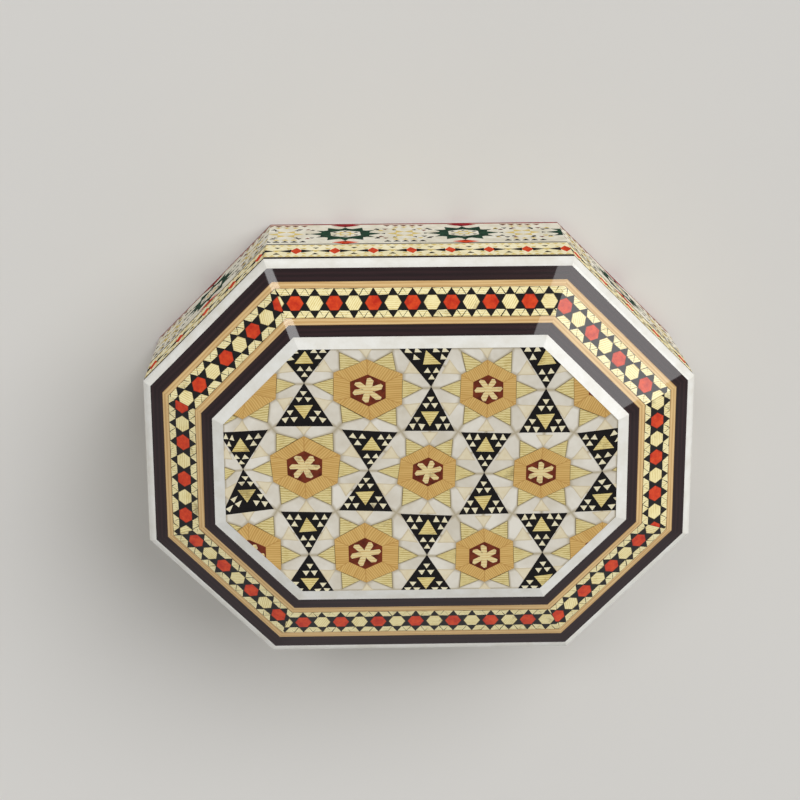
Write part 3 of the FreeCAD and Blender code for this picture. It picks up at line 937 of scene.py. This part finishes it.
def settled(x, y):
    """Where a point of the even mosaic really lies; the panel's edge holds what is beside it."""
    total, step_x, step_y = EVEN_WEIGHT, 0.0, 0.0
    for place_x, place_y, off_x, off_y in laid_off:
        weight = math.exp(-((x - place_x) ** 2 + (y - place_y) ** 2) / (2 * LAID_REACH ** 2))
        total += weight
        step_x += weight * off_x
        step_y += weight * off_y
    step_x, step_y = step_x / total, step_y / total
    for place, share in THINNER.items():
        middle = even_place(*place)
        away = math.dist((x, y), middle)
        if away < THIN_REACH:
            fade = min((THIN_REACH - away) / (THIN_REACH - THIN_CORE), 1.0)
            step_x += (x - middle[0]) * (share - 1) * fade
            step_y += (y - middle[1]) * (share - 1) * fade
    free = free_share(x, y)
    return x + step_x * free, y + step_y * free


def settle(piece, lift=0.0, share=1.0):
    """The piece's slices go where they really lie; share draws those of a black triangle to its middle."""
    for vert in piece.data.vertices:
        x, y = vert.co.x / MM, vert.co.y / MM
        middle = min(triangle_places, key=lambda place: math.dist(place, (x, y)))
        drawn = (1 - share) * free_share(x, y)
        x, y = settled(x + (middle[0] - x) * drawn, y + (middle[1] - y) * drawn)
        vert.co = (x * MM, y * MM, vert.co.z + lift * MM)


region = corners_at(PANEL_INSET + PANEL_GLUE)
rosettes = {}
for row in (-1, 0, 1):
    for column in range(-2, 3):
        place = (column + (0.5 if row else 0), row)
        rosettes[place] = even_place(*place)


def on_rosette(centre, radius, degrees, aside=0.0):
    """A place on a rosette: that far out along a line at that angle, and that far aside of the line."""
    x, y = around((0, 0), radius, degrees)
    step_x, step_y = around((0, 0), aside, degrees + 90)
    return (centre[0] + x + step_x, centre[1] + (y + step_y) * SQUASH)


def add_prism(work, outline):
    """A slice right through the veneer; the top face is given back."""
    tops = [work.verts.new((x * MM, y * MM, PANEL_TOP * MM)) for x, y in outline]
    unders = [work.verts.new((x * MM, y * MM, PANEL_UNDER * MM)) for x, y in outline]
    work.faces.new(reversed(unders))
    bridge(work, unders, tops)
    return work.faces.new(tops)


def lay_slices(name, node, finish, slices, rim, drop=0.0):
    """Slices of one kind for the whole panel, each an outline and the way its grain runs."""
    work = bmesh.new()
    grain_ways = {}
    for outline, way in slices:
        kept = cut_to(outline, region)
        if kept:
            top_face = add_prism(work, kept)
            top_face.normal_update()
            grain_ways[top_face] = way
    ease_edges(work, list(grain_ways), rim * MM, drop * MM, lambda face: grain_ways[face])
    return stand_in(work, name, finish, "lid", node)


def way_between(first, last):
    return Vector((last[0] - first[0], last[1] - first[1], 0)).normalized()


ochre_corner = OCHRE_APOTHEM * 2 / math.sqrt(3)
heart_corner = HEART_APOTHEM * 2 / math.sqrt(3)
petals, sectors, points = [], [], []
for place, centre in rosettes.items():
    inner = COVERED_CORNER if place == COVERED else heart_corner
    for turn in range(0, 360, 60):
        sector = [on_rosette(centre, inner, turn - 30), on_rosette(centre, ochre_corner, turn - 30),
                  on_rosette(centre, ochre_corner, turn + 30), on_rosette(centre, inner, turn + 30)]
        sectors.append((sector, way_between(centre, on_rosette(centre, 1, turn))))
        points.append(([on_rosette(centre, OCHRE_APOTHEM, turn, -POINT_BASE / 2),
                        on_rosette(centre, OCHRE_APOTHEM + POINT_HEIGHT, turn),
                        on_rosette(centre, OCHRE_APOTHEM, turn, POINT_BASE / 2)], Vector((1, 0, 0))))
        for hand_side in (1, -1):
            gap = turn - 30 * hand_side
            petal = [on_rosette(centre, ochre_corner, gap),
                     on_rosette(centre, OCHRE_APOTHEM, turn, -hand_side * POINT_BASE / 2),
                     on_rosette(centre, OCHRE_APOTHEM + POINT_HEIGHT, turn),
                     on_rosette(centre, ROSETTE_PITCH / 2, turn),
                     on_rosette(centre, ROSETTE_PITCH / math.sqrt(3), gap)]
            way = way_between(petal[0], petal[3])
            petals.append((petal[::-hand_side], way))
settle(lay_slices("panel_petals", "panel_bone_petals", petal_bone_with_rim_shade, petals, 0.55, 0.03), -0.02)
settle(lay_slices("panel_golden_sectors", "panel_ochre_hexagons", golden_wood, sectors, 0.12))
settle(lay_slices("panel_star_points", "panel_brass_points", point_brass, points, 0.16), 0.015)
settle(dressed("panel_tan_wedges", wedge_wood, "lid", 0.3), 0.005)
hearts = dressed("panel_dark_red_hearts", heart_wood, "lid", 0.2)
settle(hearts, 0.01)
for vert in hearts.data.vertices:
    if math.dist(vert.co.xy / MM, rosettes[COVERED]) < OCHRE_APOTHEM:
        vert.co.z -= COVERED_DROP * MM

# Hearts: a pinwheel of six pale brass blades lies in each dark red heart.
# The blades are cut from flat brass strip, with slanted ends, and meet at a small middle slice.
BLADE = [(0.35, -0.18), (1.25, -0.7), (2.8, -0.74), (3.45, 0.1), (3.2, 0.74), (1.25, 0.7), (0.35, 0.18)]
BLADE_SWING = 6
BLADE_LONG = (0.93, 1.03)
BLADE_WIDE = (0.88, 1.0)
HUB_LONG, HUB_WIDE = 1.15, 1.0
PINWHEEL_TURN = {(-0.5, -1): 6, (0.5, -1): 15, (-1, 0): 30, (0, 0): 14, (1, 0): -5,
                 (-0.5, 1): 29, (0.5, 1): 9}
panel = (Vector((0, 0, PANEL_TOP)), Vector((1, 0, 0)), Vector((0, 1, 0)), Vector((0, 0, 1)))
pinwheels = Inlay("panel_heart_pinwheels", 6, pale_brass, "lid", "brass")
hubs = Inlay("panel_heart_hubs", 6, pale_brass, "lid", "brass", 0.09)
for place, centre in rosettes.items():
    hubs.add(panel, centre, 0, HUB_LONG, HUB_WIDE, region)
    for turn in range(0, 360, 60):
        degrees = turn + PINWHEEL_TURN.get(place, 0) + hand.uniform(-BLADE_SWING, BLADE_SWING)
        long, wide = hand.uniform(*BLADE_LONG), hand.uniform(*BLADE_WIDE)
        blade = [on_rosette(centre, long * x, degrees, wide * y) for x, y in BLADE]
        if place != COVERED:
            pinwheels.add_outline(panel, blade, region)
for piece in pinwheels.lay() + hubs.lay():
    settle(piece, 0.01)

# Black triangles: each holds one upturned brass triangle and three small ones in every corner.
# They are thin slices of triangular brass rods, as in the border.
settle(dressed("panel_black_triangles", black_wood, "lid", 0.2), 0.01, TRIANGLE_SHARE)
TRIANGLE_SPREAD = 0.93
BIG_LONG, BIG_WIDE = 2.55, 2.4
SMALL_LONG, SMALL_WIDE = 0.95, 0.9
point_slices = brass_finish("Triangle brass", shade(252, 234, 162), shade(216, 186, 104), 620.0, 0.42)
cream_brass = brass_finish("Cream brass", shade(250, 243, 212), shade(236, 222, 176), 700.0, 0.42, metal=0.15)
big_brass = Inlay("panel_triangle_brass", 3, point_slices, "lid", "brass")
small_brass = Inlay("panel_small_brass", 3, cream_brass, "lid", "brass")
unit = ROSETTE_PITCH / 12 / math.sqrt(3)
for row in (-2, -1, 0, 1):
    for column in range(-3, 4):
        for level, aside, turn in ((1 / 3, 0.5, -90), (2 / 3, 0, 90)):
            x = (column + (0.5 if row % 2 else 0) + aside) * ROSETTE_PITCH + SHIFT[0]
            y = (row + level) * ROW_PITCH + SHIFT[1]
            big_brass.add(panel, (x, y), -turn, BIG_LONG * SQUASH, BIG_WIDE, region)
            for corner in (0, 120, 240):
                outer = around((0, 0), 3 * unit, turn + corner)
                for near in (0, 120, 240):
                    spot = around(outer, unit, turn + near)
                    place = (x + spot[0] * TRIANGLE_SPREAD, y + spot[1] * SQUASH)
                    small_brass.add(panel, place, -turn, SMALL_LONG * SQUASH, SMALL_WIDE, region)
for piece in big_brass.lay() + small_brass.lay():
    settle(piece, 0.01, TRIANGLE_SHARE)

# Setting: a plain pale floor, a broad soft light from the picture's upper right and a small weak one from
# its upper left. The camera looks down on the lid at the photograph's angle and distance, and is turned
# half round, so that the box's front is at the top of the picture.
FLOOR_REACH = 3
FLOOR_LOW = -0.2 * MM
HORIZON = (0.78, 0.78, 0.78, 1)
ZENITH = (0.2, 0.2, 0.2, 1)
floor_mesh = bpy.data.meshes.new("floor")
floor_mesh.from_pydata([(x * FLOOR_REACH, y * FLOOR_REACH, FLOOR_LOW)
                        for x, y in ((-1, -1), (1, -1), (1, 1), (-1, 1))], [], [(0, 1, 2, 3)])
floor = bpy.data.objects.new("floor", floor_mesh)
bpy.context.scene.collection.objects.link(floor)
floor_finish, nodes, links, shader = start_finish("Pale floor", 0.9, 0.0)
place = nodes.new("ShaderNodeTexCoord")
mottle = new_node(nodes, "ShaderNodeTexNoise", Scale=6.0)
ramp = two_tones(nodes, shade(219, 217, 213), shade(222, 220, 216), 0.2, 0.8)
wire(links, (place, "Object", mottle, "Vector"), (mottle, "Fac", ramp, "Fac"),
     (ramp, "Color", shader, "Base Color"))
floor_mesh.materials.append(floor_finish)

world = bpy.data.worlds.new("Studio")
bpy.context.scene.world = world
world.use_nodes = True
nodes, links = world.node_tree.nodes, world.node_tree.links
sky = nodes["Background"]
place = nodes.new("ShaderNodeTexCoord")
split = nodes.new("ShaderNodeSeparateXYZ")
ramp = two_tones(nodes, HORIZON, ZENITH, 0.0, 1.0)
wire(links, (place, "Generated", split, "Vector"), (split, "Z", ramp, "Fac"), (ramp, "Color", sky, "Color"))


def soft_light(name, direction, spread, strength):
    """A far soft light that shines on the whole floor alike; spread is how wide it looks, in degrees."""
    light = bpy.data.lights.new(name, "SUN")
    light.energy = strength
    light.angle = math.radians(spread)
    holder = bpy.data.objects.new(name, light)
    holder.rotation_euler = Vector(direction).to_track_quat("Z", "Y").to_euler()
    bpy.context.scene.collection.objects.link(holder)


soft_light("right light", (-0.50, -0.50, 0.70), 48, 1.82)
soft_light("left light", (0.293, -0.443, 0.82), 14, 0.28)

camera = bpy.data.cameras.new("camera")
camera.lens = 90.73
camera.sensor_width = 36.0
eye = bpy.data.objects.new("camera", camera)
bpy.context.scene.collection.objects.link(eye)
eye.location = Vector((13.36, -134.94, 461.41)) * MM
eye.rotation_euler = [math.radians(turn) for turn in (-16.036, -1.311, 179.714)]
bpy.context.scene.camera = eye
bpy.context.scene.view_settings.view_transform = "Standard"
